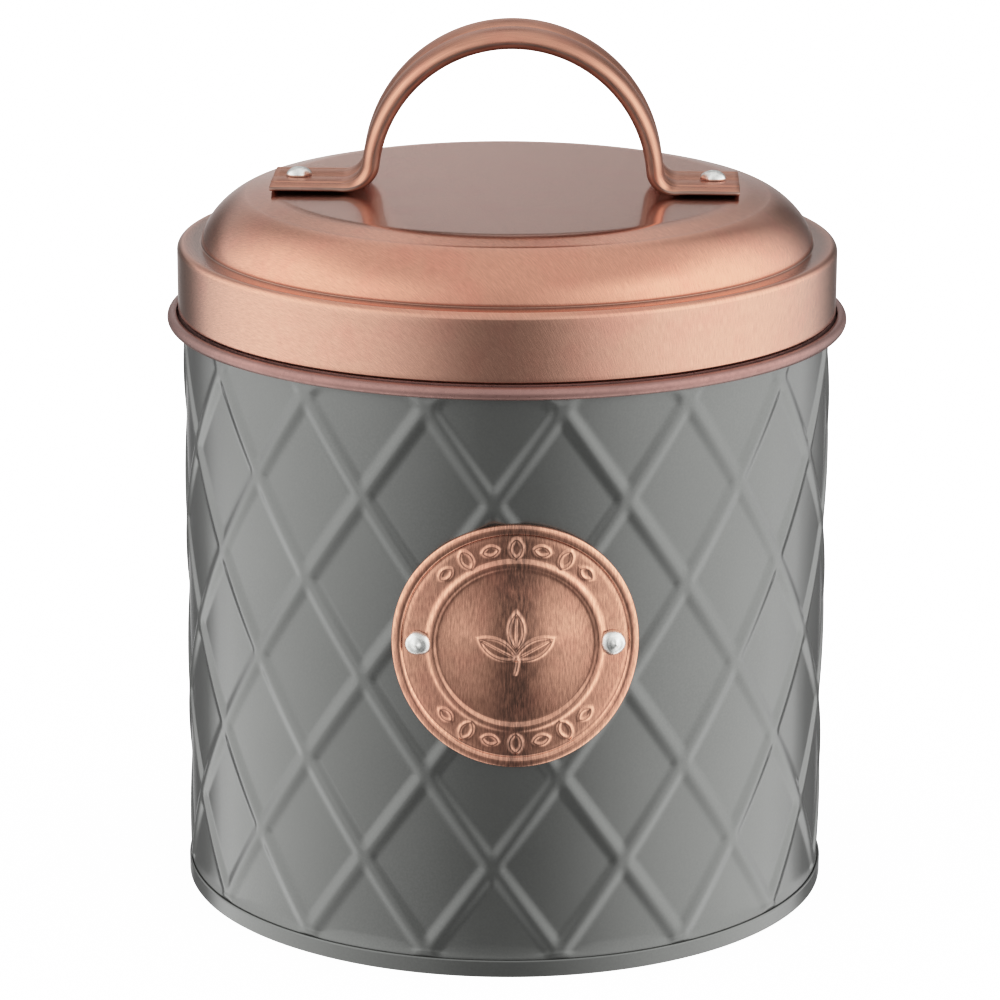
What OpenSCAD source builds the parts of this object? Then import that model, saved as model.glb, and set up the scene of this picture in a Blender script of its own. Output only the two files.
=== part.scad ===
// Tea caddy: a straight-sided tin canister with a slip-on lid.
// Origin at the centre of the base, +Z up, -Y is the front, where the badge is.
// Sizes are in millimetres.

/* [Canister] */
// outer radius of the wall, over the embossed ridges
wall_r = 57.15; // [50:0.05:65]
// thickness of the wall's sheet
wall_t = 0.4; // [0.3:0.05:0.8]
// top of the rolled mouth
mouth_z = 115.8; // [90:0.1:140]
// radius of the roll round the mouth
mouth_roll_r = 1.2; // [0.8:0.1:2]

/* [Base] */
// outer radius of the seam that joins base and wall
seam_r = 57.6; // [51:0.05:66]
// height of that seam
seam_h = 3.0; // [2:0.1:6]
// top of the recessed floor
floor_z = 3.4; // [2.6:0.1:6]

/* [Lid] */
// outer radius of the lid's band
band_r = 58.1; // [51:0.05:66]
// thickness of the lid's sheet
lid_t = 0.45; // [0.3:0.05:0.8]
// radius of the corner between band and shelf
shoulder_r = 1.2; // [0.8:0.1:3]
// top of the narrow shelf
shelf_z = 116.45; // [91:0.05:141]
// radius where the dome rises from the shelf
dome_r = 53.8; // [45:0.1:60]
// radius of the dome's flat top
flat_r = 40; // [30:0.5:50]
// height of the flat top
top_z = 125.9; // [100:0.1:150]
// radius where the slope round the flat top meets the rounded shoulder
brow_r = 46; // [35:0.1:52]
// height there
brow_z = 124.79; // [99:0.01:149]
// radius and height the shoulder's curve springs from
spring_r = 45.55; // [35:0.05:52]
spring_z = 124.87; // [99:0.01:149]
// fullness of that curve: 2 is an ellipse, less is flatter
dome_power = 1.5; // [1.4:0.05:2.4]
// outer radius of the rolled bead under the band
bead_r = 60; // [52:0.05:68]
// radius of the bead's own roll
bead_roll_r = 1.1; // [0.8:0.05:2]
// height of the bead's centre
bead_z = 103.15; // [80:0.05:120]
// how far the lid is turned on the canister, in degrees
lid_turn = -3.1; // [-180:0.1:180]

/* [Handle] */
// length over both tabs
handle_len = 81.6; // [60:0.2:100]
// width of the strap
strap_w = 18.8; // [10:0.2:25]
// height of the strap's pressed section
strap_t = 1.6; // [0.8:0.1:2]
// outer radius of the arch
arch_r = 26.4; // [18:0.1:35]
// height of the arch's centre over the tabs
arch_up = 0.7; // [0:0.1:5]
// how far the handle sits to the right of the lid's middle
handle_x = -0.3; // [-2:0.05:2]
// how far the arch sits to the right of the handle's middle
arch_x = 1.05; // [-3:0.05:3]
// depth of the rolled edges along the arch
edge_d = 3.1; // [1.5:0.1:5]
// width of those rolled edges
edge_w = 1.8; // [1:0.1:4]
// inner radius of the bend from leg to tab, on the left
bend_left = 4; // [1:0.1:6]
// and on the right
bend_right = 3; // [1:0.1:6]
// distance from the middle to each handle rivet
handle_rivet_x = 36.4; // [30:0.1:45]

/* [Badge] */
// radius of the round badge
badge_r = 21.2; // [12:0.1:30]
// height of its centre
badge_z = 59.3; // [30:0.1:90]
// how far it sits to the right of the middle, in degrees
badge_az = 0.25; // [-5:0.05:5]
// thickness of its sheet
badge_t = 0.45; // [0.3:0.05:1]
// height of its raised rings
ring_h = 0.4; // [0.2:0.05:1]
// outer radius of its inner ring
ring_r = 14.2; // [8:0.1:14.3]
// angle from the middle to each badge rivet, in degrees
badge_rivet_az = 16.45; // [8:0.1:22]

/* [Rivets] */
// radius of a rivet's domed head
head_r = 2.3; // [1.2:0.05:4]
// height of that head
head_h = 1.5; // [0.8:0.05:2.5]
// radius of a rivet's shank
shank_r = 1.15; // [0.7:0.05:2]
// gap round the shank in its holes
shank_gap = 0.05; // [0.02:0.01:0.2]
// radius of the flattened tail
tail_r = 1.8; // [1.3:0.05:3]
// height of that tail
tail_h = 0.7; // [0.4:0.05:1.5]

/* [Hidden] */
$fn = 96;
tab_z = top_z;
tab_top = tab_z + strap_t;
arch_z = tab_top + arch_up;
badge_in = wall_r + 0.05;
badge_out = badge_in + badge_t;
grey_paint = [0.5, 0.5, 0.49];
copper = [0.76, 0.5, 0.4];
bare_alu = [0.83, 0.83, 0.81];

// points of an arc about (cx, cz), from angle a0 to a1, with two radii
function arc(cx, cz, rx, rz, a0, a1, n = 20) =
    [for (i = [0:n]) let (a = a0 + (a1 - a0) * i / n) [cx + rx * cos(a), cz + rz * sin(a)]];

// the dome's side going up from its foot to its flat top, on a skin that lies inset below the outer one
function shoulder(foot_z, inset = 0, n = 28) = concat(
    [for (i = [0:n])
        let (a = 90 * i / n, k = 2 / dome_power, r = spring_r + (dome_r - inset - spring_r) * pow(cos(a), k))
            if (r > brow_r + 0.1) [r, foot_z + (spring_z - inset - foot_z) * pow(sin(a), k)]],
    [[brow_r, brow_z - inset]],
    [for (i = [0:4])
        let (t = 1 - i / 4, fall = (top_z - brow_z) / 3)
            [flat_r + (brow_r - flat_r) * t / 2, top_z - inset - fall * t * t]]);

// something standing on the wall at an angle from the front, its z axis pointing outwards
module at_wall(az, z) {
    rotate([0, 0, az])
        translate([0, 0, z])
            rotate([90, 0, 0])
                children();
}

module rivet_holes_in_wall(depth) {
    for (side = [-1, 1])
        at_wall(badge_az + side * badge_rivet_az, badge_z)
            translate([0, 0, wall_r - depth])
                cylinder(r = shank_r + shank_gap, h = 2 * depth);
}

// a rivet standing on z = 0, clenching sheets down to z = -grip
module rivet(grip) {
    cap_r = (head_r * head_r + head_h * head_h) / (2 * head_h);
    cap_a = asin((cap_r - head_h) / cap_r);
    rotate_extrude()
        polygon(concat(
            [[0, -grip - tail_h], [tail_r * 0.8, -grip - tail_h], [tail_r, -grip - tail_h * 0.6],
             [tail_r, -grip], [shank_r, -grip], [shank_r, 0], [head_r, 0]],
            arc(0, head_h - cap_r, cap_r, cap_r, cap_a + 3, 88, 10),
            [[0, head_h]]));
}

module body_wall() {
    roll_x = wall_r - mouth_roll_r;
    roll_z = mouth_z - mouth_roll_r;
    roll_in = mouth_roll_r - wall_t;
    color(grey_paint)
        difference() {
            rotate_extrude()
                polygon(concat(
                    [[wall_r - wall_t, 0.6], [wall_r, 0.6]],
                    arc(roll_x, roll_z, mouth_roll_r, mouth_roll_r, 0, 290),
                    arc(roll_x, roll_z, roll_in, roll_in, 290, 0)));
            rivet_holes_in_wall(3);
        }
}

module base_plate() {
    t = wall_t;
    lip = seam_r - t;
    well = wall_r - wall_t - 0.05;
    color(grey_paint)
        rotate_extrude()
            polygon(concat(
                [[0, floor_z - t], [well - t - 1.2, floor_z - t]],
                arc(well - t - 1.2, floor_z - t - 0.8, 0.8, 0.8, 90, 0, 6),
                [[well - t - 0.4, 0.6]],
                arc(well - t + 0.2, 0.6, 0.6, 0.6, 180, 270, 6),
                arc(seam_r - 0.5, 0.5, 0.5, 0.5, 270, 360, 6),
                [[seam_r, seam_h], [lip, seam_h], [lip, t], [well - t + 0.4, t], [well - t + 0.4, floor_z - 1.2]],
                arc(well - t - 0.4, floor_z - 0.8, 0.8, 0.8, 0, 90, 6),
                [[0, floor_z]]));
}

module lid_profile() {
    band_in = band_r - lid_t;
    corner_x = band_r - shoulder_r;
    corner_z = shelf_z - shoulder_r;
    corner_in = shoulder_r - lid_t;
    foot_z = shelf_z - 0.1;
    under = shoulder(foot_z, lid_t);
    polygon(concat(
        [[band_in, bead_z], [band_r, bead_z]],
        arc(corner_x, corner_z, shoulder_r, shoulder_r, 0, 90, 8),
        [[dome_r + 0.3, foot_z]],
        shoulder(foot_z),
        [[0, top_z], [0, top_z - lid_t]],
        [for (i = [len(under) - 1:-1:0]) under[i]],
        [[dome_r - lid_t, foot_z - lid_t]],
        arc(corner_x, corner_z, corner_in, corner_in, 90, 0, 8)));
}

module bead_profile() {
    cx = bead_r - bead_roll_r;
    inner = bead_roll_r - lid_t;
    polygon(concat(
        arc(cx, bead_z, bead_roll_r, bead_roll_r, -230, 110, 36),
        arc(cx, bead_z, inner, inner, 110, -230, 36)));
}

module lid_shell() {
    color(copper)
        difference() {
            rotate_extrude() {
                lid_profile();
                bead_profile();
            }
            rotate([0, 0, lid_turn])
                for (side = [-1, 1])
                    translate([handle_x + side * handle_rivet_x, 0, top_z - 2])
                        cylinder(r = shank_r + shank_gap, h = 4);
        }
}

// one side of the strap from the arch's top to a tab's end at x = reach, as a closed outline in x and z
module half_strap_outline(reach, bend_r) {
    bend_z = tab_top + bend_r;
    bend_dist = arch_r + bend_r;
    bend_lean = asin((bend_z - arch_z) / bend_dist);
    bend_x = bend_dist * cos(bend_lean);
    turn = 180 + bend_lean + 6;
    polygon(concat(
        [[0, arch_z + arch_r - strap_t], [0, arch_z + arch_r]],
        arc(0, arch_z, arch_r, arch_r, 87, bend_lean, 28),
        arc(bend_x, bend_z, bend_r, bend_r, turn, 270, 12),
        [[reach, tab_top], [reach, tab_z]],
        arc(bend_x, bend_z, bend_r + strap_t, bend_r + strap_t, 270, turn, 12),
        arc(0, arch_z, arch_r - strap_t, arch_r - strap_t, bend_lean, 87, 28)));
}

// the arch's rolled edge, seen from the side
module half_edge_outline() {
    polygon(concat(
        [[0, arch_z + arch_r - edge_d], [0, arch_z + arch_r - strap_t / 2]],
        arc(0, arch_z, arch_r - strap_t / 2, arch_r - strap_t / 2, 87, 12, 24),
        arc(0, arch_z, arch_r - edge_d, arch_r - edge_d, 7, 87, 24)));
}

// an outline in x and z about the arch's middle, made into a solid w wide from y = y0
module upright(y0, w) {
    translate([arch_x, y0 + w, 0])
        rotate([90, 0, 0])
            linear_extrude(height = w)
                children();
}

module handle() {
    color(copper)
        rotate([0, 0, lid_turn])
            translate([handle_x, 0, 0])
                difference() {
                    union() {
                        upright(-strap_w / 2, strap_w) {
                            half_strap_outline(handle_len / 2 - arch_x, bend_right);
                            mirror([1, 0])
                                half_strap_outline(handle_len / 2 + arch_x, bend_left);
                        }
                        for (y = [-strap_w / 2 + 0.1, strap_w / 2 - edge_w - 0.1])
                            upright(y, edge_w)
                                for (side = [0, 1])
                                    mirror([side, 0])
                                        half_edge_outline();
                    }
                    for (side = [-1, 1])
                        translate([side * handle_rivet_x, 0, tab_z - 1])
                            cylinder(r = shank_r + shank_gap, h = 4);
                }
}

module handle_rivet(side) {
    color(bare_alu)
        rotate([0, 0, lid_turn])
            translate([handle_x + side * handle_rivet_x, 0, tab_top])
                rivet(strap_t + lid_t);
}

module handle_rivet_left() {
    handle_rivet(-1);
}

module handle_rivet_right() {
    handle_rivet(1);
}

// a band of the badge between two distances from the canister's axis and two of its own radii
module badge_band(r0, r1, from_r, to_r) {
    intersection() {
        translate([0, 0, badge_z - 25])
            difference() {
                cylinder(r = r1, h = 50, $fn = 192);
                translate([0, 0, -1])
                    cylinder(r = r0, h = 52, $fn = 192);
            }
        translate([0, 0, badge_z])
            rotate([90, 0, 0])
                difference() {
                    cylinder(r = to_r, h = 70);
                    if (from_r > 0)
                        translate([0, 0, -1])
                            cylinder(r = from_r, h = 72);
                }
    }
}

module badge() {
    color(copper)
        difference() {
            rotate([0, 0, badge_az]) {
                badge_band(badge_in, badge_out, 0, badge_r);
                badge_band(badge_in + 0.1, badge_out + ring_h, badge_r - 1.3, badge_r - 0.1);
                badge_band(badge_in + 0.1, badge_out + ring_h * 0.7, ring_r - 1, ring_r);
            }
            rivet_holes_in_wall(4);
        }
}

module badge_rivet(side) {
    color(bare_alu)
        at_wall(badge_az + side * badge_rivet_az, badge_z)
            translate([0, 0, badge_out])
                rivet(badge_out - wall_r + wall_t + 0.05);
}

module badge_rivet_left() {
    badge_rivet(-1);
}

module badge_rivet_right() {
    badge_rivet(1);
}

body_wall();
base_plate();
lid_shell();
handle();
handle_rivet_left();
handle_rivet_right();
badge();
badge_rivet_left();
badge_rivet_right();
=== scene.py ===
import bpy
import bmesh
import math
import numpy as np
from mathutils import Matrix


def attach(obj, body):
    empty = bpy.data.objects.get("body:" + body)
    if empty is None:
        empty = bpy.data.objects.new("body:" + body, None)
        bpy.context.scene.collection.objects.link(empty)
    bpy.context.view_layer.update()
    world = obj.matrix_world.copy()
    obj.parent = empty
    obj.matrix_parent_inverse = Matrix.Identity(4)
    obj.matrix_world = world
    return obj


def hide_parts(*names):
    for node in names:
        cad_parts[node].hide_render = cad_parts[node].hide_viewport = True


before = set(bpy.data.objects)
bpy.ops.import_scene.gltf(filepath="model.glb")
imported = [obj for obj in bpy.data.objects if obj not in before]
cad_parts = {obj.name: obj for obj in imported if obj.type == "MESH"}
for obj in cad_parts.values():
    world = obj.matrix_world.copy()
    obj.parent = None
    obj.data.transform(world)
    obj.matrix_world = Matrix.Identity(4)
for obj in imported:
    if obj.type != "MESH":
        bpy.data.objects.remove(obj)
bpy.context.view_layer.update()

MM = 0.001

# ---------------------------------------------------------------- dimensions, mm
# the wall, rolled from one sheet and embossed with diamonds
PANEL_R = 56.86        # its outside, between the ridges
RIDGE_H = 0.45         # how far the ridges stand out
RIDGE_W = 2.25         # half width of a ridge
WALL_T = 0.4
PITCH = 22.75          # degrees between diamonds in a row
ROW = 31.9             # height of a diamond
LATTICE_AZ = 7.8       # azimuth and height of one crossing of ridges
LATTICE_Z = 3.9
SMOOTH_R = 57.0        # the plain wall under the lid
FOOT_R = 57.16         # and the wall where it enters the base's seam
MOUTH_Z = 115.8
ROLL_R = 1.2           # the mouth's roll
LAP = 0.34             # step where the sheet's ends overlap at the back

# the base plate, sunk in the seam that closes round the wall's foot
FLOOR_Z = 3.4
FLOOR_T = 0.4
RING_R = 45.2          # a ring pressed in the plate
RING_W = 1.2           # its half width
RING_H = 0.5
WELL_R = 56.3          # where the plate turns down into the seam
SEAM_R = 57.6
SEAM_H = 3.0

# the lid, pressed from one sheet
BAND_R = 58.1
LID_T = 0.45
SHOULDER_R = 1.2       # round edge between band and shelf
SHELF_Z = 116.45
DOME_R = 53.8
DOME_FOOT = 0.35       # height of the upright foot of the dome
FLAT_R = 40.0
TOP_Z = 125.9
BROW_R = 46.0          # the slope round the flat top meets the shoulder here
BROW_Z = 124.79
SPRING_R = 45.55       # the shoulder's curve springs from here
SPRING_Z = 124.87
DOME_POWER = 1.5       # its fullness: 2 is an ellipse
BEAD_R = 60.0
BEAD_ROLL = 1.1
BEAD_Z = 103.15
LID_TURN = math.radians(-3.1)

# the handle, a fluted strap
TAB_END = 40.8
STRAP_W = 18.8
STRAP_T = 1.6
ARCH_R = 26.4
HANDLE_X = -0.3        # the handle's middle, to the right of the lid's
ARCH_X = 1.2           # the arch's middle, to the right of the handle's
ARCH_Z = TOP_Z + STRAP_T + 0.7
ARCH_SKEW = 0.024      # how far the arch's edges are out of square
BEND_LEFT = 4.0
BEND_RIGHT = 3.0
CROWN = 4.2            # half width of the strap's dished middle
EDGE_D = 3.1           # how far the arch's edges turn down
EDGE_ROLL = 1.3
HANDLE_RIVET_X = 36.4

# the badge, bent to the wall
BADGE_R = 21.25
BADGE_Z = 59.3
BADGE_AZ = math.radians(0.25)
BADGE_IN = 57.25       # radius of its back, on the ridges
BADGE_T = 0.45
BADGE_RIVET_ARC = 16.55
RIM_R = 20.35          # middle of its raised rim
RIM_W = 0.95
RIM_H = 0.5
LEAF_R = 17.05         # circle of small leaves
INNER_RING_R = 14.3
MIDDLE_R = 13.4        # the bulging middle
MIDDLE_H = 1.15

# rivets
HEAD_R = 2.25
HEAD_H = 1.5
SHANK_R = 1.12
TAIL_R = 1.8
TAIL_H = 0.7

SHEET = 160            # mm of sheet for one unit of UV


# ---------------------------------------------------------------- mesh helpers
def quads(rows, cols):
    """Faces of a tube of vertices laid out ring by ring."""
    r, c = np.meshgrid(np.arange(rows - 1), np.arange(cols), indexing="ij")
    n = (c + 1) % cols
    f = np.stack([r * cols + c, r * cols + n, (r + 1) * cols + n, (r + 1) * cols + c], -1)
    return f.reshape(-1, 4).tolist()


def build(name, verts, faces, materials, face_mats=None, uv=None, outward=True):
    """A smooth mesh object from vertices in mm, with a UV place for each vertex."""
    me = bpy.data.meshes.new(name)
    me.from_pydata((np.asarray(verts, float) * MM).tolist(), [], faces)
    me.validate()
    for m in materials:
        me.materials.append(m)
    if face_mats is not None:
        me.polygons.foreach_set("material_index", np.asarray(face_mats, np.int32))
    if uv is not None:
        layer = me.uv_layers.new(name="sheet")
        idx = np.empty(len(me.loops), np.int32)
        me.loops.foreach_get("vertex_index", idx)
        layer.data.foreach_set("uv", np.asarray(uv, np.float32)[idx].ravel())
    me.polygons.foreach_set("use_smooth", np.ones(len(me.polygons), bool))
    if outward:
        bm = bmesh.new()
        bm.from_mesh(me)
        bmesh.ops.recalc_face_normals(bm, faces=bm.faces)
        bm.to_mesh(me)
        bm.free()
    me.update()
    ob = bpy.data.objects.new(name, me)
    bpy.context.scene.collection.objects.link(ob)
    return ob


def arc(cx, cz, rx, rz, a0, a1, n):
    a = np.radians(np.linspace(a0, a1, n + 1))
    return np.stack([cx + rx * np.cos(a), cz + rz * np.sin(a)], -1)


def line(a, b, n):
    t = np.linspace(0, 1, n + 1)[:, None]
    return np.asarray(a, float) * (1 - t) + np.asarray(b, float) * t


def path(*parts):
    """Joins stretches of profile, leaving out repeated points."""
    out = [np.asarray(parts[0][0], float)]
    for p in parts:
        for q in np.atleast_2d(p):
            if np.hypot(*(q - out[-1])) > 1e-4:
                out.append(np.asarray(q, float))
    return np.array(out)


def length_along(profile):
    d = np.hypot(*np.diff(profile, axis=0).T)
    return np.concatenate([[0], np.cumsum(d)])


def smoothstep(x, a, b):
    t = np.clip((x - a) / (b - a), 0, 1)
    return t * t * (3 - 2 * t)


def revolve(name, profile, count, materials, row_mats=None, uv_of=None, shape=None):
    """Turns a profile of (r, z), whose ends lie on the axis, round Z.

    row_mats has a material's number for each stretch, uv_of gives the UV place from the length along
    the profile and the angle, and shape may move the points.
    """
    prof = np.asarray(profile, float)
    ang = np.linspace(0, 2 * np.pi, count, endpoint=False)
    body = prof[1:-1]
    r = np.repeat(body[:, :1], count, 1)
    z = np.repeat(body[:, 1:], count, 1)
    if shape is not None:
        r, z = shape(r, z, ang[None, :])
    verts = np.stack([r * np.cos(ang), r * np.sin(ang), z], -1).reshape(-1, 3)
    pole = len(verts)
    end = (len(body) - 1) * count
    verts = np.vstack([verts, [[0, 0, prof[0][1]], [0, 0, prof[-1][1]]]])
    faces = quads(len(body), count)
    faces += [[pole, (j + 1) % count, j] for j in range(count)]
    faces += [[pole + 1, end + j, end + (j + 1) % count] for j in range(count)]
    rows = row_mats if row_mats is not None else [0] * (len(prof) - 1)
    mats = np.repeat([*rows[1:-1], rows[0], rows[-1]], count)
    uv = None
    if uv_of is not None:
        s = length_along(prof)
        uv = np.vstack([uv_of(np.repeat(s[1:-1], count), np.tile(ang, len(body))),
                        uv_of(s[[0, -1]], np.zeros(2))])
    return build(name, verts, faces, materials, mats, uv)


def place(ob, matrix):
    ob.data.transform(matrix)
    ob.data.update()


# ---------------------------------------------------------------- node helpers
class Nodes:
    """Short names for building a node tree."""

    def __init__(self, tree):
        self.tree = tree
        tree.nodes.clear()

    def add(self, kind, settings=None, **inputs):
        """A node with its settings and inputs filled in."""
        node = self.tree.nodes.new(kind)
        for key, value in (settings or {}).items():
            setattr(node, key, value)
        self.fill(node, inputs)
        return node

    def fill(self, node, inputs):
        """Links or sets inputs, by name or number. A colour is given as three numbers."""
        for key, value in inputs.items():
            socket = node.inputs[key]
            if isinstance(value, bpy.types.NodeSocket):
                self.tree.links.new(value, socket)
            elif socket.type == "RGBA":
                socket.default_value = (*value, 1)
            else:
                socket.default_value = value

    def coords(self, kind):
        return self.add("ShaderNodeTexCoord").outputs[kind]

    def sheet(self):
        return self.add("ShaderNodeUVMap", {"uv_map": "sheet"}).outputs[0]

    def xyz(self, vec):
        return self.add("ShaderNodeSeparateXYZ", Vector=vec).outputs

    def math(self, op, a, b=0.0):
        node = self.add("ShaderNodeMath", {"operation": op})
        self.fill(node, {0: a, 1: b})
        return node.outputs[0]

    def ramp(self, fac, stops):
        """Greys between stops of (place, grey)."""
        node = self.add("ShaderNodeValToRGB", Fac=fac)
        elements = node.color_ramp.elements
        while len(elements) < len(stops):
            elements.new(0.5)
        for element, (position, grey) in zip(elements, stops):
            element.position = position
            element.color = (grey, grey, grey, 1)
        return node.outputs["Color"]

    def range(self, value, lo, hi, a=0.0, b=1.0, smooth=False):
        """a where the value is below lo, b where it is above hi."""
        node = self.add("ShaderNodeMapRange", {"interpolation_type": "SMOOTHSTEP" if smooth else "LINEAR"})
        self.fill(node, {0: value, 1: lo, 2: hi, 3: a, 4: b})
        return node.outputs[0]

    def noise(self, vec, scale, detail=2, rough=0.5):
        node = self.add("ShaderNodeTexNoise", Vector=vec, Scale=scale, Detail=detail, Roughness=rough)
        return node.outputs["Fac"]

    def streaks(self, vec, scales, detail=2, rough=0.5):
        """Noise with a scale of its own along each axis."""
        stretched = self.add("ShaderNodeMapping", Vector=vec, Scale=scales).outputs[0]
        return self.noise(stretched, 1.0, detail, rough)

    def bump(self, height, strength, distance):
        return self.add("ShaderNodeBump", Height=height, Strength=strength, Distance=distance).outputs[0]

    def mix(self, fac, a, b, blend="MIX"):
        node = self.add("ShaderNodeMix", {"data_type": "RGBA", "blend_type": blend})
        self.fill(node, {0: fac, 6: a, 7: b})
        return node.outputs[2]


def material(name):
    """A new material, its node tree and its shader."""
    m = bpy.data.materials.new(name)
    m.use_nodes = True
    n = Nodes(m.node_tree)
    shader = n.add("ShaderNodeBsdfPrincipled")
    n.add("ShaderNodeOutputMaterial", Surface=shader.outputs[0])
    return m, n, shader


def tint(colour, k):
    return tuple(min(1.0, v * k) for v in colour)


# ---------------------------------------------------------------- materials
GREY = (0.140, 0.1435, 0.1375)
COPPER = (0.585, 0.277, 0.195)
COPPER_BAND = (0.59, 0.318, 0.237)
COPPER_WORN = (0.55, 0.272, 0.195)
# darker copper painted as shade on the handle strap's underside
COPPER_SHADED_UNDERSIDE = (0.30, 0.20, 0.165)
COPPER_BADGE = (0.69, 0.357, 0.255)
PINK_LACQUER = (0.33, 0.19, 0.17)
# darker copper painted as shade in the crease at the dome's foot
CREASE_SHADE = (0.31, 0.17, 0.13)
# darker copper painted as a dark reflection down the badge's middle
DARK_REFLECTION = (0.16, 0.1, 0.08)
ALUMINIUM = ((0.62, 0.62, 0.6), (0.9, 0.9, 0.88))
TINPLATE = ((0.5, 0.5, 0.49), (0.66, 0.66, 0.64))


def paint_material(name, base):
    """Enamel: a sheen of its own under a clear gloss, with the faint waves of sprayed paint."""
    m, n, shader = material(name)
    obj = n.coords("Object")
    broad = n.noise(obj, 35, 3)
    speck = n.noise(obj, 2600)
    smudge = n.noise(obj, 60, 4, 0.6)
    waves = n.bump(n.noise(obj, 420), 0.05, 0.0001)
    colour = n.mix(n.range(broad, 0.3, 0.7), tint(base, 0.96), tint(base, 1.04))
    colour = n.mix(n.range(speck, 0.35, 0.75), colour, tint(base, 1.08))
    n.fill(shader, {
        "Base Color": colour, "Metallic": 0.85, "Specular IOR Level": 0.0,
        "Roughness": n.range(smudge, 0.35, 0.7, 0.34, 0.39), "Normal": waves,
        "Coat Weight": 1.0, "Coat Roughness": 0.035, "Coat IOR": 1.5, "Coat Normal": waves})
    return m


def brushed_material(name, base, grain, contrast, relief, rough, aniso, edge, coat, coat_rough,
                     band=None, painted_dark=None, painted_dark_colour=None):
    """Plated sheet with a straight grain along V of its UV.

    grain is its streaks per unit of UV, across and along, contrast and relief their colour and depth.
    edge is the reflection's colour at a glancing angle, and band the plating's colour below the shelf.
    The last two arguments give a mask of places painted darker and its colour: painted shade or a painted
    dark reflection.
    """
    m, n, shader = material(name)
    uv = n.sheet()
    obj = n.coords("Object")
    across, along = grain
    fine = n.streaks(uv, (across, along, 1), 3, 0.6)
    hair = n.streaks(uv, (across * 2.3, along * 2, 1))
    wide = n.streaks(uv, (across * 0.2, along * 0.3, 1))
    mottle = n.noise(obj, 55, 4, 0.6)
    stain = n.noise(obj, 120, 3, 0.55)
    if band is not None:
        base = n.mix(n.range(n.xyz(obj)[2], (SHELF_Z - 1.2) * MM, SHELF_Z * MM), band, base)
    streak = n.math("ADD", n.math("MULTIPLY", fine, 0.88), n.math("MULTIPLY", wide, 0.12))
    streak = n.range(streak, 0.34, 0.66, 1 - contrast, 1 + contrast)
    colour = n.mix(1.0, base, streak, "MULTIPLY")
    paler = n.mix(1.0, colour, (1.06, 1.06, 1.06), "MULTIPLY")
    colour = n.mix(n.range(mottle, 0.35, 0.72, 0.0, 0.5), colour, paler)
    redder = n.mix(1.0, colour, (1.0, 0.9, 0.92), "MULTIPLY")
    colour = n.mix(n.range(stain, 0.48, 0.7, 0.0, 0.8), colour, redder)
    # the mask's places are painted darker, standing in for shade in the lid's crease and for a dark
    # reflection on the badge
    if painted_dark is not None:
        broken = n.range(n.noise(obj, 900, 3, 0.6), 0.25, 0.6, 0.8, 1.0)
        colour = n.mix(n.math("MULTIPLY", painted_dark(n), broken), colour, painted_dark_colour)
    height = n.math("ADD", fine, n.math("MULTIPLY", hair, 0.6))
    tangent = n.add("ShaderNodeTangent", {"direction_type": "UV_MAP", "uv_map": "sheet"}).outputs[0]
    n.fill(shader, {
        "Base Color": colour, "Metallic": 1.0, "Specular Tint": edge,
        "Roughness": n.range(hair, 0.3, 0.7, rough - 0.04, rough + 0.06),
        "Anisotropic": aniso, "Tangent": tangent, "Normal": n.bump(height, relief, 0.00003),
        "Coat Weight": coat, "Coat Roughness": coat_rough, "Coat IOR": 1.5})
    return m


def crease_shade_mask(n):
    """1 in the crease at the dome's foot, where shade is painted into the copper."""
    x, y, z = n.xyz(n.coords("Object"))
    r = n.math("SQRT", n.math("ADD", n.math("MULTIPLY", x, x), n.math("MULTIPLY", y, y)))
    inner = n.range(r, (DOME_R - 0.35) * MM, (DOME_R - 0.1) * MM, smooth=True)
    outer = n.range(r, (DOME_R + 1.0) * MM, (DOME_R + 3.6) * MM, 1.0, 0.0, smooth=True)
    low = n.range(z, (SHELF_Z + 0.1) * MM, (SHELF_Z + 0.35) * MM, 1.0, 0.0, smooth=True)
    return n.math("MULTIPLY", n.math("MULTIPLY", inner, outer), low)


def middle_reflection_mask(n):
    """Mask of a dark reflection painted down the badge's middle, in streaks along the grain."""
    uv = n.sheet()
    aside = n.math("ABSOLUTE", n.math("SUBTRACT", n.xyz(uv)[0], 0.5))
    middle = n.range(aside, 0.8 / SHEET, 5.5 / SHEET, 0.8, 0.0, smooth=True)
    return n.math("MULTIPLY", middle, n.range(n.streaks(uv, (440, 60, 1), 3, 0.65), 0.36, 0.6))


def lacquer_material(name, base):
    """Tinted lacquer on bare sheet, a little grainy."""
    m, n, shader = material(name)
    obj = n.coords("Object")
    cloud = n.noise(obj, 90, 4, 0.6)
    grit = n.noise(obj, 1500, 3, 0.6)
    colour = n.mix(n.range(cloud, 0.3, 0.7), tint(base, 0.86), tint(base, 1.08))
    colour = n.mix(n.range(grit, 0.5, 0.8, 0.0, 0.5), colour, tint(base, 0.72))
    n.fill(shader, {
        "Base Color": colour, "Metallic": 0.8, "Roughness": n.range(grit, 0.3, 0.7, 0.25, 0.43),
        "Normal": n.bump(grit, 0.15, 0.00005)})
    return m


def rivet_material(name, dark, light):
    """Bare aluminium as it was pressed, with small marks."""
    m, n, shader = material(name)
    obj = n.coords("Object")
    marks = n.noise(obj, 700, 4, 0.65)
    grit = n.noise(obj, 2600, 3, 0.6)
    height = n.math("ADD", marks, n.math("MULTIPLY", grit, 0.3))
    n.fill(shader, {
        "Base Color": n.mix(n.range(marks, 0.35, 0.7), dark, light), "Metallic": 1.0,
        "Roughness": n.range(grit, 0.3, 0.7, 0.24, 0.42), "Normal": n.bump(height, 0.5, 0.0001)})
    return m


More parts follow.
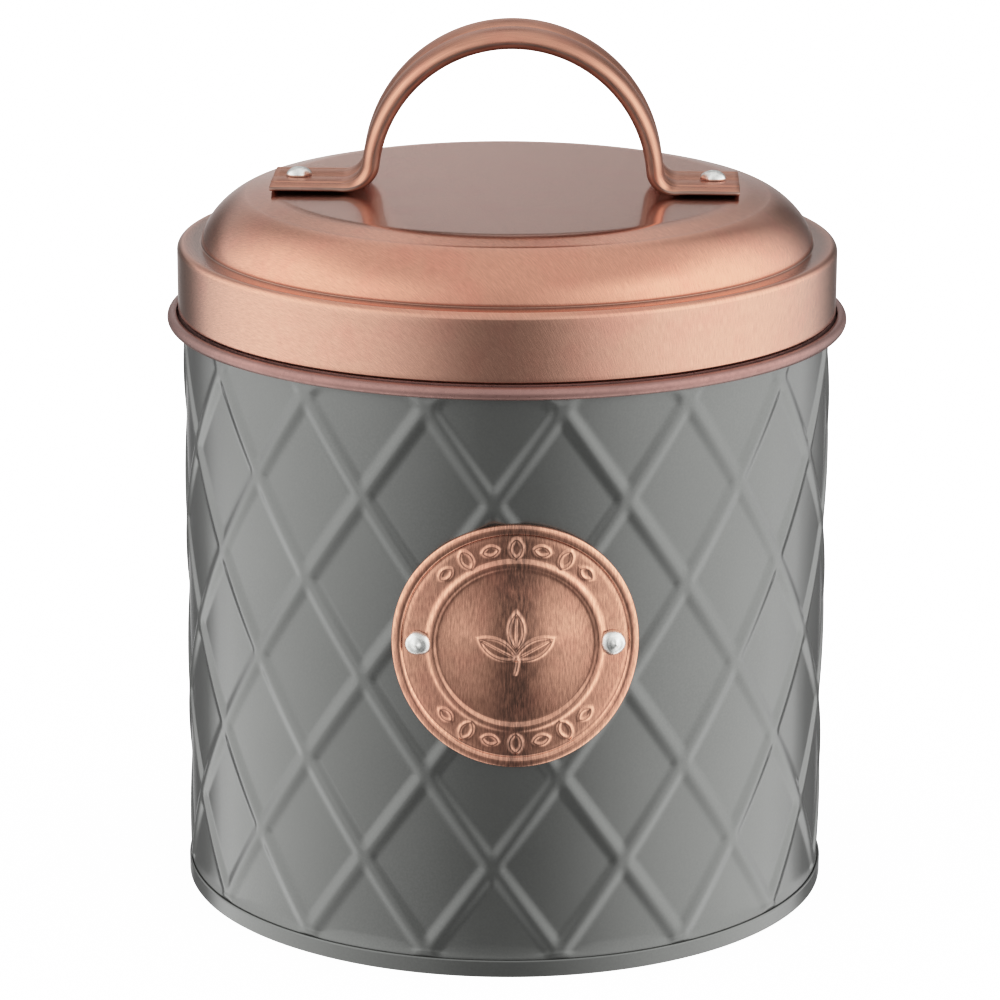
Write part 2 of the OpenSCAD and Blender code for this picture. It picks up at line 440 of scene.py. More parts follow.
def tin_material(name, dark, light):
    """Bare tinplate, rolled round the canister."""
    m, n, shader = material(name)
    obj = n.coords("Object")
    cloud = n.noise(obj, 40, 4, 0.6)
    rolled = n.streaks(obj, (300, 300, 4000), 3, 0.6)
    n.fill(shader, {
        "Base Color": n.mix(n.range(cloud, 0.3, 0.7), dark, light), "Metallic": 1.0,
        "Roughness": n.range(rolled, 0.3, 0.7, 0.26, 0.38), "Normal": n.bump(rolled, 0.12, 0.00004)})
    return m


paint = paint_material("grey_enamel", GREY)
tin = tin_material("inside_tinplate", *TINPLATE)
# the crease at the dome's foot is painted darker: painted shade
lid_copper = brushed_material(
    "copper_lid", COPPER, grain=(900, 85), contrast=0.12, relief=0.42, rough=0.17, aniso=0.55,
    edge=(1.0, 0.96, 0.94), coat=0.3, coat_rough=0.02,
    band=COPPER_BAND, painted_dark=crease_shade_mask, painted_dark_colour=CREASE_SHADE)
lid_back = lacquer_material("lid_lacquer", PINK_LACQUER)
handle_copper = brushed_material(
    "copper_handle", COPPER_WORN, grain=(420, 30), contrast=0.12, relief=0.2, rough=0.28, aniso=0.2,
    edge=(0.95, 0.78, 0.72), coat=0.12, coat_rough=0.15)
# the strap's underside gets a darker, browner copper: painted shade under the handle
handle_shaded_underside = brushed_material(
    "copper_handle_inside", COPPER_SHADED_UNDERSIDE, grain=(420, 30), contrast=0.3, relief=0.3, rough=0.36, aniso=0.2,
    edge=(0.7, 0.5, 0.45), coat=0.0, coat_rough=0.15)
# the badge's middle is painted darker in streaks: a painted dark reflection
badge_copper = brushed_material(
    "copper_badge", COPPER_BADGE, grain=(520, 90), contrast=0.28, relief=0.45, rough=0.13, aniso=0.3,
    edge=(0.9, 0.75, 0.68), coat=0.1, coat_rough=0.08, painted_dark=middle_reflection_mask, painted_dark_colour=DARK_REFLECTION)
aluminium = rivet_material("rivet_aluminium", *ALUMINIUM)


# ---------------------------------------------------------------- wall
# The embossed part is meshed along the ridges. Its grid has two numbers, one for each direction of
# ridge, and PER grid lines from one ridge to the next.
PER_MM = math.hypot(1 / (math.radians(PITCH) * PANEL_R), 1 / ROW)   # lattice units per mm across a ridge
STEPS = [0, 0.35, 0.7, 1.0, 1.3, 1.6, 1.9, 2.25, 2.6, 3.3, 4.8, 7.0]   # grid lines, mm from a ridge's middle
LINES = [d * PER_MM for d in STEPS] + [0.5] + [1 - d * PER_MM for d in STEPS[:0:-1]]
PER = len(LINES)
FIRST, LAST = -16, 15          # half diamonds round the wall, from the crossing at LATTICE_AZ
HALF_ROWS = 6
SPAN = PER * HALF_ROWS         # grid lines from the bottom to the top
LEFT_AZ = LATTICE_AZ + PITCH * FIRST / 2
RIGHT_AZ = LATTICE_AZ + PITCH * LAST / 2
SEAM_AZ = RIGHT_AZ + 3.7
PAINTED_ROLL = 12              # points of the mouth's roll that carry paint


def line_at(k):
    """Place of grid lines in lattice units."""
    k = np.asarray(k)
    return k // PER + np.take(LINES, k % PER)


def ridge(d):
    return 0.5 + 0.5 * np.cos(np.pi * np.clip(d / RIDGE_W, 0, 1))


def lattice(az, z):
    """Height of the embossing, 0 to 1, at azimuth in degrees from the front and z in mm."""
    u = (az - LATTICE_AZ) / PITCH
    v = (z - LATTICE_Z) / ROW
    one, two = (ridge(np.abs(s - np.round(s)) / PER_MM) for s in (u + v, u - v))
    return 1 - (1 - one) * (1 - two)


def wall_radius(az, z, lap=0.0):
    """Radius of the wall's outside; lap is the step of the end that lies over the other one."""
    fade = smoothstep(az, LEFT_AZ, LEFT_AZ + 2.5) * (1 - smoothstep(az, RIGHT_AZ - 2.5, RIGHT_AZ))
    fade = fade * smoothstep(z, 3.2, 3.8) * (1 - smoothstep(z, 100.6, 102.4))
    mouth = (SMOOTH_R - PANEL_R) * smoothstep(z, 101, 103.5)
    foot = (FOOT_R - PANEL_R) * (1 - smoothstep(z, 3.1, 4.4))
    return PANEL_R + mouth + foot + RIDGE_H * lattice(az, z) * fade + lap * (1 - smoothstep(z, 108, 111))


def stitch(a, za, b, zb):
    """Triangles between two upright rows of vertices whose heights differ."""
    out, i, j = [], 0, 0
    while i < len(a) - 1 or j < len(b) - 1:
        if j == len(b) - 1 or (i < len(a) - 1 and za[i + 1] <= zb[j + 1]):
            out.append([a[i], b[j], a[i + 1]])
            i += 1
        else:
            out.append([a[i], b[j], b[j + 1]])
            j += 1
    return out


def band_between(a, b):
    """Faces between two rings of as many vertices."""
    n = len(a)
    return [[a[k], a[(k + 1) % n], b[(k + 1) % n], b[k]] for k in range(n)]


def lattice_grid():
    """The grid's points, row by row from the bottom."""
    return [((total + diff) // 2, (total - diff) // 2)
            for diff in range(SPAN + 1)
            for total in range(PER * FIRST + (diff + PER * FIRST) % 2, PER * LAST + 1, 2)]


def lattice_faces(index):
    """The grid's small diamonds, and the half ones along its edges."""
    faces = []
    for i, j in index:
        corners = ((i, j), (i + 1, j), (i + 1, j + 1), (i, j + 1))
        ring = [index[k] for k in corners if k in index]
        if len(ring) >= 3:
            faces.append(ring)
        half = ((i, j - 1), (i, j), (i - 1, j))
        if (i - 1, j - 1) not in index and all(k in index for k in half):
            faces.append([index[k] for k in half])
    return faces


def wall_skin(thick, start):
    """One side of the sheet: azimuth, height and radius of its points, its faces and its two end rings."""
    grid = lattice_grid()
    index = {point: start + n for n, point in enumerate(grid)}
    u, v = (line_at(numbers) for numbers in zip(*grid))
    az = list(LATTICE_AZ + PITCH * (u + v) / 2)
    z = list(LATTICE_Z + ROW * (u - v) / 2)
    r = list(wall_radius(np.array(az), np.array(z)) - thick)
    faces = lattice_faces(index)

    def vertex(a, h, lap=0.0):
        az.append(a)
        z.append(h)
        r.append(float(wall_radius(a, h, lap)) - thick)
        return start + len(az) - 1

    def side(total):
        """The grid's points at one of its upright ends, from the bottom, and their heights."""
        ids = [index[k] for k in sorted((k for k in index if sum(k) == total), key=lambda k: k[0] - k[1])]
        return ids, [z[k - start] for k in ids]

    def row(diff, seam):
        """The grid's points at the bottom or the top, closed by the two on the seam."""
        return [index[k] for k in sorted(k for k in index if k[0] - k[1] == diff)] + [up[seam], down[seam]]

    heights = [LATTICE_Z + ROW * HALF_ROWS / 2 * t for t in np.linspace(0, 1, 40)]
    up = [vertex(SEAM_AZ - 0.02, h, LAP) for h in heights]
    down = [vertex(SEAM_AZ + 0.02, h) for h in heights]
    faces += stitch(*side(PER * LAST), up, heights)
    faces += [[up[k], down[k], down[k + 1], up[k + 1]] for k in range(len(up) - 1)]
    faces += stitch(down, heights, *side(PER * FIRST))

    low, high = row(0, 0), row(SPAN, -1)
    ring_az = [az[k - start] for k in low]
    laps = [0.0] * (len(low) - 2) + [LAP, 0.0]

    def carry_on(ring, levels):
        for h in levels:
            new = [vertex(a, h, lap) for a, lap in zip(ring_az, laps)]
            faces.extend(band_between(ring, new))
            ring = new
        return ring

    low = carry_on(low, [3.4, 3.0, 0.9])
    high = carry_on(high, [100.2, 100.8, 101.4, 102.0, 102.6, 103.6, 106, 109, 111, 112.5])
    return az, z, r, faces, low, high, ring_az


def make_wall():
    """Both sides of the sheet, joined by the rolled mouth and at the foot."""
    az, z, r, faces, low, high, ring_az = wall_skin(0.0, 0)
    az_in, z_in, r_in, faces_in, low_in, high_in, ring_az = wall_skin(WALL_T, len(az))
    az, z, r = az + az_in, z + z_in, r + r_in
    mats = [0] * len(faces) + [1] * len(faces_in)
    faces = faces + faces_in
    centre = (SMOOTH_R - ROLL_R, MOUTH_Z - ROLL_R)
    roll = arc(*centre, ROLL_R, ROLL_R, 0, 290, 22)
    roll_in = arc(*centre, ROLL_R - WALL_T, ROLL_R - WALL_T, 290, 0, 18)
    ring = high
    count = len(ring)
    for k, (radius, h) in enumerate(np.vstack([roll, roll_in])):
        new = list(range(len(az), len(az) + count))
        az += ring_az
        z += [h] * count
        r += [radius] * count
        faces += band_between(ring, new)
        mats += [0 if k < PAINTED_ROLL else 1] * count
        ring = new
    faces += band_between(ring, high_in) + band_between(low, low_in)
    mats += [1] * count + [0] * count
    t = np.radians(az)
    verts = np.stack([np.array(r) * np.sin(t), -np.array(r) * np.cos(t), z], -1)
    return build("wall", verts, faces, [paint, tin], mats)


wall = make_wall()
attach(wall, "canister")
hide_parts("body_wall")


# ---------------------------------------------------------------- base
def make_base():
    """The plate with its pressed ring, and the seam round it, open at the top for the wall."""
    under = FLOOR_Z - FLOOR_T
    ring_in, ring_out = RING_R - RING_W, RING_R + RING_W
    above = path(
        [[0, FLOOR_Z]], line([4, FLOOR_Z], [ring_in, FLOOR_Z], 10),
        arc(RING_R, FLOOR_Z, RING_W, RING_H, 180, 0, 10),
        line([ring_out, FLOOR_Z], [WELL_R - 1.2, FLOOR_Z], 4),
        arc(WELL_R - 0.6, FLOOR_Z - 0.8, 0.75, 0.8, 90, 45, 3))
    channel = path(
        arc(WELL_R - 0.6, FLOOR_Z - 0.8, 0.75, 0.8, 45, 0, 3), [[WELL_R + 0.15, 0.9]],
        arc(WELL_R + 0.5, 0.75, 0.35, 0.35, 180, 270, 4), arc(57.0, 0.6, 0.2, 0.2, 270, 360, 3),
        [[57.2, SEAM_H - 0.3]], arc(57.4, SEAM_H - 0.25, 0.2, 0.25, 180, 0, 8))
    outside = path(
        line([SEAM_R, SEAM_H - 0.35], [SEAM_R, 0.25], 6), arc(SEAM_R - 0.2, 0.2, 0.2, 0.2, 0, -90, 6),
        arc(56.5, 0.6, 0.6, 0.6, 270, 180, 8), [[WELL_R - 0.4, under - 1.0]],
        arc(WELL_R - 0.8, under - 0.6, 0.4, 0.6, 0, 90, 6), line([WELL_R - 1.4, under], [ring_out, under], 4),
        arc(RING_R, under, RING_W, RING_H, 0, 180, 10), line([ring_in, under], [4, under], 10), [[0, under]])
    prof = path(above, channel, outside)
    mats = [1] * len(above) + [0] * (len(prof) - 1 - len(above))

    def uneven(r, z, a):
        """The seam's outside as it is folded, not quite round."""
        k = smoothstep(r, 57.3, SEAM_R)
        return r - 0.015 * k * (1 + np.sin(17 * a + 1.3) * np.sin(5 * a)), z

    return revolve("base", prof, 320, [paint, tin], mats, shape=uneven)


base = make_base()
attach(base, "canister")
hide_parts("base_plate")


# ---------------------------------------------------------------- lid
GRAIN = math.atan2(-0.8, 0.6)      # direction of the sheet's grain, from +X


def sheet_uv(s, ang):
    """The lid laid out flat: distance from its middle and angle, turned so the grain is V."""
    x, y = s * np.cos(ang), s * np.sin(ang)
    v = x * math.cos(GRAIN) + y * math.sin(GRAIN)
    u = -x * math.sin(GRAIN) + y * math.cos(GRAIN)
    return np.stack([u / SHEET + 0.5, v / SHEET + 0.5], -1)


def dome_side(foot_z, inset, n):
    """The dome from its flat top down to its foot, on a skin lying inset below the outer one."""
    t = np.linspace(0, 1, 9)
    brow = np.stack([FLAT_R + (BROW_R - FLAT_R) * t / 2, TOP_Z - inset - (TOP_Z - BROW_Z) / 3 * t * t], -1)
    slope = line(brow[-1], [BROW_R, BROW_Z - inset], 4)
    a = np.radians(90 - 90 * np.linspace(0, 1, n + 1) ** 1.3)
    k = 2 / DOME_POWER
    r = SPRING_R + (DOME_R - inset - SPRING_R) * np.cos(a) ** k
    z = foot_z + (SPRING_Z - inset - foot_z) * np.sin(a) ** k
    keep = r > BROW_R + 0.08
    return path(brow, slope, np.stack([r[keep], z[keep]], -1))


def make_lid():
    """Dome, shelf, band and the bead rolled outwards under the band, outside and inside."""
    foot_z = SHELF_Z + DOME_FOOT
    cx, cz = BAND_R - SHOULDER_R, SHELF_Z - SHOULDER_R
    band_in = BAND_R - LID_T
    bead_x = BEAD_R - BEAD_ROLL
    outer = path(
        [[0, TOP_Z]], line([3, TOP_Z], [FLAT_R - 0.5, TOP_Z], 16), dome_side(foot_z, 0, 60)[:-1],
        line([DOME_R, foot_z], [DOME_R, SHELF_Z + 0.1], 4),
        arc(DOME_R + 0.15, SHELF_Z + 0.05, 0.15, 0.15, 180, 270, 4),
        line([DOME_R + 0.5, SHELF_Z - 0.08], [cx, SHELF_Z], 6),
        arc(cx, cz, SHOULDER_R, SHOULDER_R, 90, 0, 10),
        line([BAND_R, cz], [BAND_R, BEAD_Z + 1.75], 14),
        arc(BAND_R - 0.25, BEAD_Z + 1.75, 0.25, 0.25, 0, -80, 5), [[BAND_R - 0.3, BEAD_Z + 1.2]])
    inner = path(
        line([band_in - 0.1, BEAD_Z + 0.6], [band_in, cz], 10),
        arc(cx, cz, SHOULDER_R - LID_T, SHOULDER_R - LID_T, 0, 90, 8),
        [[DOME_R - 0.1, SHELF_Z - 0.5]], dome_side(foot_z, LID_T, 30)[::-1],
        line([FLAT_R - 0.5, TOP_Z - LID_T], [3, TOP_Z - LID_T], 10), [[0, TOP_Z - LID_T]])
    roll_inside = arc(bead_x, BEAD_Z, BEAD_ROLL - LID_T, BEAD_ROLL - LID_T, 180, 478, 34)
    roll_outside = arc(bead_x, BEAD_Z, BEAD_ROLL, BEAD_ROLL, 478, 180, 46)
    lip = arc(bead_x, BEAD_Z, BEAD_ROLL - LID_T / 2, BEAD_ROLL - LID_T / 2, 480, 480, 0)
    prof = path(outer, roll_inside, lip, roll_outside, inner)
    copper = len(outer) - 1
    mats = [0] * copper + [1] * (len(prof) - 1 - copper)
    return revolve("lid", prof, 360, [lid_copper, lid_back], mats, uv_of=sheet_uv)


lid = make_lid()
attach(lid, "lid")
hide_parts("lid_shell")


# ---------------------------------------------------------------- handle
UNDER_FROM = 32        # points of a section from the middle of its top to where the darker copper, painted shade under the strap, starts


def both_sides(half):
    """A closed outline from its right half, given from the middle of the top round to the middle below."""
    return np.array(half + [(-y, h) for y, h in half[-2:0:-1]])


def groove(y, width):
    """A fine line pressed in the strap."""
    return 0.14 * math.exp(-(y / width) ** 2)


def arch_section():
    """Across and height over the highest line: dished crown, round shoulders, edges rolled under."""
    w = STRAP_W / 2
    drop = EDGE_D - EDGE_ROLL
    half = [(y, -0.5 * (1 - y / CROWN) ** 2 - groove(y, 0.3)) for y in np.linspace(0, CROWN, 16)]
    half += [(CROWN + (w - CROWN) * math.cos(a) ** 0.77, drop * (math.sin(a) ** 0.77 - 1))
             for a in np.radians(np.linspace(90, 0, 18))[1:]]
    half += [(w - EDGE_ROLL + EDGE_ROLL * math.cos(a), -drop + EDGE_ROLL * math.sin(a))
             for a in np.radians(np.linspace(0, -110, 11))[1:]]
    half += [(w - 2.0, -drop - 0.7), (w - 2.3, -drop + 0.1)]
    half += [(6.8 * t, -0.8 - 0.4 * (1 - t) ** 2 - 0.45 * t ** 6) for t in np.linspace(1, 0, 18)]
    return both_sides(half)


def tab_section():
    """The same strap pressed flat, with as many points."""
    w = STRAP_W / 2

    def top(y):
        return -0.25 * max(0, 1 - y / CROWN) ** 2 - groove(y - 6.1, 0.35) - 0.5 * (y / w) ** 4

    half = [(y, top(y)) for y in np.linspace(0, CROWN, 16)]
    half += [(y, top(y)) for y in np.linspace(CROWN, w - 0.4, 18)[1:]]
    half += [(w - 0.4 + 0.4 * math.cos(a), -0.8 + 0.3 * math.sin(a))
             for a in np.radians(np.linspace(90, -100, 11))[1:]]
    half += [(w - 0.9, -1.12), (w - 1.5, -1.15)]
    half += [(7.0 * t, -STRAP_T + 0.4 * t ** 4) for t in np.linspace(1, 0, 18)]
    return both_sides(half)


def half_strap(reach, bend_r):
    """From a tab's end to the arch's top: x, z, outward normal, and 0 on the tab to 1 on the arch."""
    tab_z = TOP_Z + STRAP_T
    lean = math.asin((tab_z + bend_r - ARCH_Z) / (ARCH_R + bend_r))
    bend_x = (ARCH_R + bend_r) * math.cos(lean)
    bend_z = tab_z + bend_r
    turn = 90 - math.degrees(lean)
    pts = [(x, tab_z, 0.0, 1.0, 0.0) for x in np.linspace(reach, bend_x, 12)[:-1]]
    for a in np.linspace(0, turn, 18)[:-1]:
        nx, nz = math.sin(math.radians(a)), math.cos(math.radians(a))
        change = float(smoothstep(a / turn, -0.1, 1.0))
        pts.append((bend_x - bend_r * nx, bend_z - bend_r * nz, nx, nz, change))
    for a in np.linspace(math.degrees(lean), 90, 46):
        nx, nz = math.cos(math.radians(a)), math.sin(math.radians(a))
        pts.append((ARCH_R * nx, ARCH_Z + ARCH_R * nz, nx, nz, 1.0))
    return pts


def strap_end(ring, away):
    """The rounded end of a tab: its last ring, a little smaller and further out."""
    inset = ring.copy()
    inset[:, 0] += 0.1 * away
    middle = inset.mean(0)
    inset[:, 1] = middle[1] + (inset[:, 1] - middle[1]) * 0.987
    inset[:, 2] = middle[2] + (inset[:, 2] - middle[2]) * 0.8
    return inset[None]


def make_handle():
    """The strap swept from tab to tab over the arch, its section changing in the bends."""
    tab, arch = tab_section(), arch_section()
    left = [(-x, z, -nx, nz, k) for x, z, nx, nz, k in half_strap(TAB_END + ARCH_X, BEND_LEFT)]
    right = half_strap(TAB_END - ARCH_X, BEND_RIGHT)
    spine = np.array(left + right[-2::-1])
    spine[:, 0] += HANDLE_X + ARCH_X
    sx, sz, nx, nz, k = spine.T[:, :, None]
    y = tab[None, :, 0] * (1 - k) + arch[None, :, 0] * k
    h = tab[None, :, 1] * (1 - k) + arch[None, :, 1] * k
    rings = np.stack([sx + h * nx - ARCH_SKEW * y * k, y, sz + h * nz], -1)
    rings = np.concatenate([strap_end(rings[0], -1), rings, strap_end(rings[-1], 1)])
    n, m = rings.shape[:2]
    faces = quads(n, m) + [list(range(m)), list(range((n - 1) * m, n * m))]
    c, s = math.cos(LID_TURN), math.sin(LID_TURN)
    v = rings.reshape(-1, 3)
    v = np.stack([v[:, 0] * c - v[:, 1] * s, v[:, 0] * s + v[:, 1] * c, v[:, 2]], -1)
    along = length_along(np.vstack([spine[:1, :2], spine[:, :2], spine[-1:, :2]]))
    girth = length_along(arch)
    uv = np.stack(np.broadcast_arrays(girth[None, :] / SHEET, along[:, None] / SHEET), -1).reshape(-1, 2)
    column = np.arange(m)
    # the rolled edges and underside take the darker copper painted as shade under the strap
    below = (np.minimum(column, m - 1 - column) >= UNDER_FROM).astype(int)
    mats = np.concatenate([np.tile(below, n - 1), [0, 0]])
    return build("handle_strap", v, faces, [handle_copper, handle_shaded_underside], mats, uv)


handle = make_handle()
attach(handle, "lid")
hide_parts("handle")


# ---------------------------------------------------------------- rivets
def make_rivet(name, grip, seed, pointed):
    """A rivet standing on z = 0, its head above and its clenched tail below the sheets."""
    head = []
    for t in np.linspace(0, 1, 20):
        r = HEAD_R * t
        z = HEAD_H * (1 - t ** 2.3) ** 0.62
        if pointed:
            z += 0.22 * math.exp(-(r / 0.42) ** 2) - 0.16 * math.exp(-((r - 0.95) / 0.5) ** 2)
        else:
            z -= 0.1 * math.exp(-(r / 0.9) ** 2)
        head.append((r, max(z, 0.02)))
    prof = path(head, [[HEAD_R - 0.05, 0.0], [SHANK_R, 0.0]], line([SHANK_R, 0], [SHANK_R, -grip], 3),
                [[TAIL_R - 0.1, -grip], [TAIL_R, -grip - 0.15], [TAIL_R, -grip - TAIL_H * 0.6],
                 [TAIL_R - 0.4, -grip - TAIL_H], [0, -grip - TAIL_H]])

    def dents(r, z, a):
        """Makes the head a little out of round."""
        k = smoothstep(z, 0.0, 0.3)
        w = np.sin(2 * a + seed) * 0.035 + np.sin(3 * a + 2.1 * seed) * 0.025 + np.sin(5 * a - seed) * 0.012
        lean = 0.05 * np.cos(a + 1.7 * seed) * r / HEAD_R + 0.03 * np.sin(3 * r + seed + 2 * a)
        return r * (1 + w * smoothstep(r, 0.4, 2.0)), z + k * lean

    return revolve(name, prof, 56, [aluminium], shape=dents)


SIDES = ((-1, "left"), (1, "right"))

for side, word in SIDES:
    rivet = make_rivet("handle_rivet_" + word + "_head", STRAP_T + LID_T, 1.0 + side, False)
    on_tab = Matrix.Translation(((HANDLE_X + side * HANDLE_RIVET_X) * MM, 0, (TOP_Z + STRAP_T) * MM))
    place(rivet, Matrix.Rotation(LID_TURN, 4, "Z") @ on_tab)
    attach(rivet, "lid")
    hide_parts("handle_rivet_" + word)


# ---------------------------------------------------------------- badge
def leaf(x, y, cx, cy, length, width, turn):
    """A pointed leaf with its long axis turned: distance from its outline, negative inside, and from
    its middle line."""
    c, s = math.cos(turn), math.sin(turn)
    u = (x - cx) * c + (y - cy) * s
    v = -(x - cx) * s + (y - cy) * c
    half, w = length / 2, width / 2
    bow = (half * half + w * w) / (2 * w)
    return np.maximum(np.hypot(u, v + bow - w), np.hypot(u, v - bow + w)) - bow, v


def pressed_line(d, width):
    return np.exp(-(d / width) ** 2)


def leaf_circle(x, y):
    """Small leaves over and under the middle, along the circle and across it by turns."""
    h = 0
    for flip in (0, math.pi):
        for k in range(-3, 4):
            t = math.radians(14.6) * k + flip
            length, width, turn = (3.6, 2.3, math.pi / 2 - t) if k % 2 == 0 else (3.0, 1.9, -t)
            d, v = leaf(x, y, LEAF_R * math.sin(t), LEAF_R * math.cos(t), length, width, turn)
            h = h + 0.2 * pressed_line(d + 0.15, 0.3)
    return h


def sprig(x, y):
    """Three leaves with their midribs on a short stem."""
    h = 0
    for cx, cy, length, width, turn in ((-3.0, -0.2, 7.4, 3.2, 152), (3.0, -0.2, 7.4, 3.2, 28),
                                        (0.0, 3.0, 6.4, 2.7, 90)):
        d, v = leaf(x, y, cx, cy, length, width, math.radians(turn))
        h = h + 0.2 * pressed_line(d + 0.12, 0.3) + 0.14 * pressed_line(v, 0.18) * (d < -0.3)
    stem = np.abs(x - 0.25 * np.sin((y + 4) * 0.9))
    return h + 0.2 * pressed_line(stem, 0.28) * smoothstep(y, -5.0, -4.5) * (1 - smoothstep(y, -2.2, -1.6))


def badge_height(x, y):
    """Height of the badge's pressed pattern in mm, at arc distance x and height y from its middle."""
    r = np.hypot(x, y)
    rim = RIM_H * np.sqrt(1 - np.clip(np.abs(r - RIM_R) / RIM_W, 0, 1) ** 2)
    channel = -0.06 * pressed_line(r - 19.2, 0.4)
    ring = 0.34 * np.exp(-(np.abs(r - INNER_RING_R) / 0.75) ** 3)
    middle = MIDDLE_H * np.clip(1 - (r / MIDDLE_R) ** 2, 0, 1) ** 2
    return rim + channel + ring + middle + leaf_circle(x, y) + sprig(x, y)


def make_badge():
    """The disc's patterned front, its edge and its plain back, bent round the wall."""
    ang = np.linspace(0, 2 * np.pi, 640, endpoint=False)
    front_r = np.concatenate([
        np.linspace(0.15, 7.5, 58), np.linspace(7.7, 13.0, 18), np.linspace(13.1, 15.2, 22),
        np.linspace(15.3, 18.9, 34), np.linspace(19.0, 21.1, 26), [21.2, BADGE_R]])
    back_r = np.linspace(BADGE_R, 0.5, 12)
    r, a = np.meshgrid(np.concatenate([front_r, back_r]), ang, indexing="ij")
    x, y = r * np.sin(a), r * np.cos(a)
    front = len(front_r)
    h = np.zeros_like(x)
    h[:front] = badge_height(x[:front], y[:front]) + BADGE_T
    h[front - 2] -= 0.03
    h[front - 1] = BADGE_T - 0.1
    t = x / (BADGE_IN + BADGE_T) + BADGE_AZ
    rad = BADGE_IN + h
    v = np.stack([rad * np.sin(t), -rad * np.cos(t), BADGE_Z + y], -1).reshape(-1, 3)
    n, m = x.shape
    faces = quads(n, m) + [list(range(m)), list(range((n - 1) * m, n * m))]
    uv = np.stack([x.ravel() / SHEET + 0.5, y.ravel() / SHEET + 0.5], -1)
    return build("badge_disc", v, faces, [badge_copper], uv=uv)


badge = make_badge()
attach(badge, "canister")
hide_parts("badge")

badge_face = BADGE_IN + BADGE_T
for side, word in SIDES:
    grip = badge_face - (PANEL_R - WALL_T) + 0.05
    rivet = make_rivet("badge_rivet_" + word + "_head", grip, 2.3 + side, True)
    turned = Matrix.Rotation(BADGE_AZ + side * BADGE_RIVET_ARC / badge_face, 4, "Z")
    out = Matrix.Translation((0, -(badge_face + 0.1) * MM, BADGE_Z * MM))
    place(rivet, turned @ out @ Matrix.Rotation(math.pi / 2, 4, "X"))
    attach(rivet, "canister")
    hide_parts("badge_rivet_" + word)


# ---------------------------------------------------------------- floor
def make_floor():
    """A pale floor without end, which shiny metal doesn't mirror."""
    s = 6000
    m, n, shader = material("pale_floor")
    seen = n.add("ShaderNodeLightPath").outputs["Is Camera Ray"]
    n.fill(shader, {
        "Base Color": n.mix(n.noise(n.coords("Object"), 3), (0.88, 0.88, 0.88), (0.9, 0.9, 0.9)),
        "Roughness": 0.9, "Specular IOR Level": 0.0,
        "Emission Color": (1, 1, 1), "Emission Strength": n.math("MULTIPLY", seen, 2.4)})
    ob = build("floor", [[-s, -s, 0], [s, -s, 0], [s, s, 0], [-s, s, 0]], [[0, 1, 2, 3]], [m], outward=False)
    ob.visible_glossy = False


make_floor()


# ---------------------------------------------------------------- light
LIGHTEST = 3.0
SKY = 1.4
WHITE = 6.0            # what the view shows behind the caddy
# azimuth in degrees from the front and light there: near the floor, up to the horizon, and above it
FLOOR_LIGHT = [
    (-180, 1.0), (-168, 0.5), (-158, 0.2), (-147, 0.2), (-140, 0.26), (-134, 0.9), (-128, 1.9), (-120, 2.35),
    (-98, 2.35), (-76, 1.85), (-64, 1.5), (-50, 1.2), (-40, 1.0), (-30, 0.82), (-20, 0.54), (-10, 0.35),
    (0, 0.3), (10, 0.34), (20, 0.6), (30, 1.0), (40, 1.4), (50, 1.8), (64, 2.15), (90, 2.65),
    (110, 2.45), (127, 1.6), (133, 0.7), (140, 0.26), (158, 0.2), (168, 0.5), (180, 1.0)]
LOW_LIGHT = [
    (-180, 0.98), (-173, 0.8), (-167, 0.5), (-160, 0.26), (-152, 0.24), (-144, 0.36), (-136, 0.8),
    (-128, 1.4), (-110, 2.05), (-90, 2.35), (-64, 2.25), (-50, 2.0), (-40, 1.65), (-30, 1.24), (-20, 0.72),
    (-10, 0.44), (0, 0.4), (10, 0.54), (20, 1.0), (30, 1.5), (40, 1.95), (50, 2.2), (64, 2.45), (90, 2.5),
    (110, 2.2), (128, 1.7), (136, 1.05), (144, 0.6), (152, 0.28), (160, 0.2), (168, 0.5), (180, 0.98)]
HIGH_LIGHT = [
    (-180, 0.98), (-160, 0.8), (-148, 0.85), (-134, 1.5), (-120, 2.3), (-100, 2.7), (-60, 2.45),
    (-30, 1.6), (0, 1.15), (30, 1.9), (60, 2.95), (100, 2.95), (120, 2.4), (134, 1.5), (148, 0.6),
    (160, 0.75), (180, 0.98)]


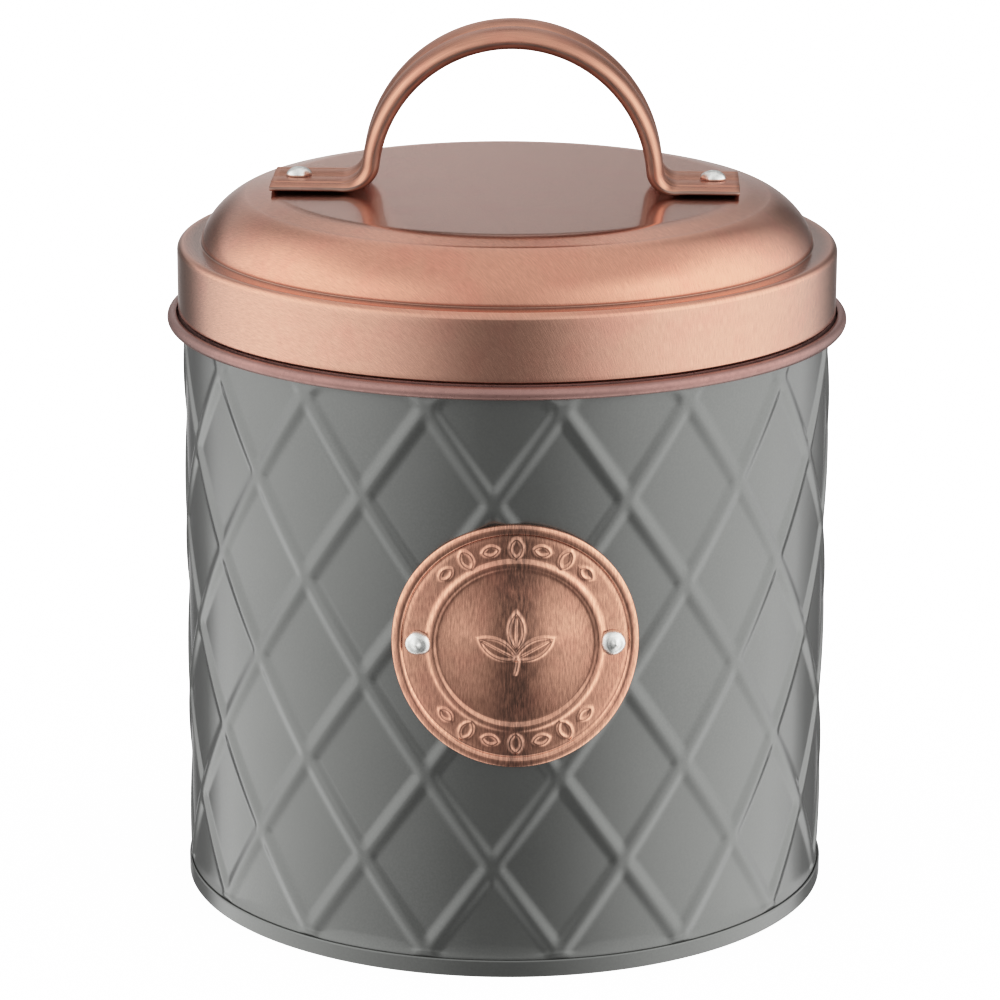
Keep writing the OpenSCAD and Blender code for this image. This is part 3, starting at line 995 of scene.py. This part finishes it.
def make_world():
    """A light tent: long soft boxes left and right, dark at the front, a white sweep behind."""
    world = bpy.data.worlds.new("studio")
    bpy.context.scene.world = world
    world.use_nodes = True
    n = Nodes(world.node_tree)
    x, y, z = n.xyz(n.coords("Generated"))
    turn = n.math("DIVIDE", n.math("ARCTAN2", x, n.math("MULTIPLY", y, -1.0)), 2 * math.pi)
    az = n.math("ADD", turn, 0.5)
    el = n.math("MULTIPLY", n.math("ARCSINE", z), 180 / math.pi)
    off_front = n.math("ABSOLUTE", n.math("SUBTRACT", az, 0.5))

    def around(stops):
        return n.ramp(az, [(deg / 360 + 0.5, light / LIGHTEST) for deg, light in stops])

    # the low lights reach higher at the rear than at the front
    rear_right = n.range(az, 0.85, 0.91, smooth=True)
    rear_left = n.range(az, 0.15, 0.09, 0.0, 0.55, smooth=True)
    rear = n.math("ADD", rear_right, rear_left)
    low = n.mix(n.range(el, -18, -14, smooth=True), around(FLOOR_LIGHT), around(LOW_LIGHT))
    above = n.range(el, n.range(rear, 0, 1, -3, 12), n.range(rear, 0, 1, 8, 26), smooth=True)
    light = n.mix(above, low, around(HIGH_LIGHT))

    # even light overhead, which comes lower behind
    back = n.range(off_front, 0.42, 0.47, smooth=True)
    overhead = n.range(el, n.range(back, 0, 1, 32, 23), n.range(back, 0, 1, 62, 40), smooth=True)
    light = n.mix(overhead, light, (SKY / LIGHTEST,) * 3)

    # a dark gap between the sweep and the light overhead
    behind = n.range(off_front, 0.480, 0.494, smooth=True)
    gap = n.math("MULTIPLY", n.range(el, 13.5, 15), n.range(el, 20, 23, 1.0, 0.0))
    light = n.mix(n.math("MULTIPLY", behind, gap), light, (0.04, 0.04, 0.04))

    light = n.mix(1.0, light, (LIGHTEST,) * 3, "MULTIPLY")
    seen = n.add("ShaderNodeLightPath").outputs["Is Camera Ray"]
    background = n.add("ShaderNodeBackground", Color=n.mix(seen, light, (WHITE,) * 3))
    n.add("ShaderNodeOutputWorld", Surface=background.outputs[0])


make_world()


# ---------------------------------------------------------------- view and camera
CAM_AZ = math.radians(-1.5)
CAM_BACK = 739.29
CAM_UP = 276.84
CAM_DOWN = math.radians(15.739)
CAM_ROLL = math.radians(0.255)
FILM = 36.0
FOCAL = 4.2821         # focal length over the film's width
SHIFT = -0.0061


def film_curve(view, white=4.0):
    """Shadows a little deeper, highlights rolled off."""
    view.view_transform = "Standard"
    view.look = "None"
    view.use_curve_mapping = True
    curves = view.curve_mapping
    curves.white_level = (white, white, white)
    for t in (0.02, 0.05, 0.1, 0.17, 0.25, 0.37, 0.5, 0.7):
        curves.curves[3].points.new(t, 1 - math.exp(-(t * white) ** 1.2))
    curves.update()


def make_camera():
    data = bpy.data.cameras.new("camera")
    data.sensor_width = FILM
    data.lens = FILM * FOCAL
    data.shift_x = SHIFT
    data.clip_start = 0.01
    data.clip_end = 20.0
    camera = bpy.data.objects.new("camera", data)
    camera.matrix_world = (
        Matrix.Rotation(CAM_AZ, 4, "Z")
        @ Matrix.Translation((0, -CAM_BACK * MM, CAM_UP * MM))
        @ Matrix.Rotation(math.pi / 2 - CAM_DOWN, 4, "X")
        @ Matrix.Rotation(CAM_ROLL, 4, "Z"))
    bpy.context.scene.collection.objects.link(camera)
    bpy.context.scene.camera = camera


film_curve(bpy.context.scene.view_settings)
make_camera()
